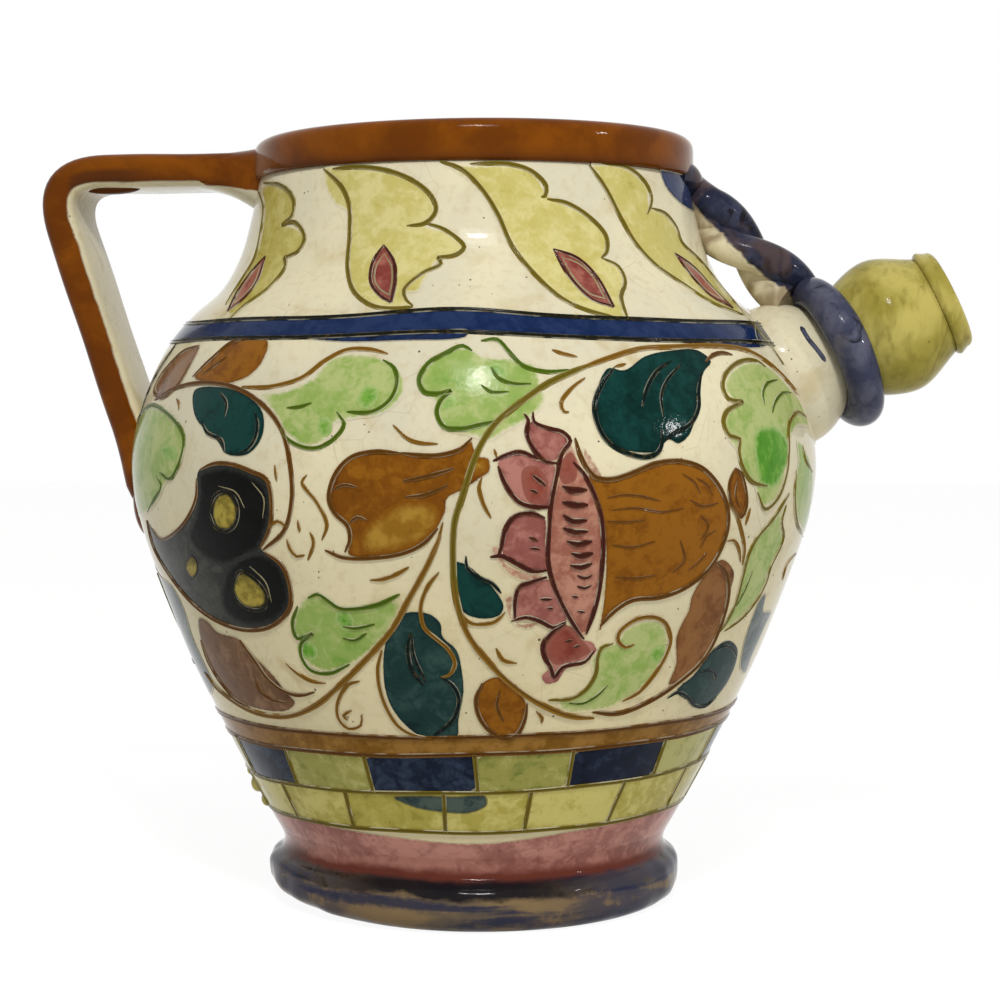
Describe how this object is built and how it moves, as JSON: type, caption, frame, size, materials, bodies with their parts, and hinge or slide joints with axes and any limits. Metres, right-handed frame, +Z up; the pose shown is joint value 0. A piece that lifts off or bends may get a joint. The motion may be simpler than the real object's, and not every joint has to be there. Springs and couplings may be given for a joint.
{
  "type": "majolica pitcher",
  "caption": "Ovoid glazed earthenware jug with a banded rim, flared foot, angular strap handle and a gourd-shaped spout tied to the neck by a twisted clay rope.",
  "frame": {"origin": "centre of the flat base on the body's turning axis", "axes": "+Z up along the turning axis, +X towards the spout, the handle on -X"},
  "size_m": [0.2715, 0.1996, 0.22],
  "materials": {
    "cream_glaze": "glossy cream tin glaze with incised, coloured flowers and leaves",
    "amber_glaze": "glossy amber-brown glaze",
    "indigo_glaze": "glossy mottled indigo glaze, thin over cream",
    "olive_glaze": "glossy olive-yellow glaze with darker streaks",
    "slate_glaze": "brushed navy glaze over taupe clay"
  },
  "bodies": {
    "root": {"body": "cream_glaze", "foot_ring": "slate_glaze", "rim_collar": "amber_glaze", "strap_handle": "amber_glaze", "handle_upper_luting": "amber_glaze", "handle_lower_luting": "amber_glaze", "spout_tube": "cream_glaze", "spout_luting": "cream_glaze", "spout_bulb": "olive_glaze", "spout_lip": "olive_glaze", "rope_ring": "indigo_glaze", "rope_strand_front": "indigo_glaze", "rope_strand_back": "indigo_glaze", "rope_luting": "indigo_glaze"}
  },
  "joints": []
}
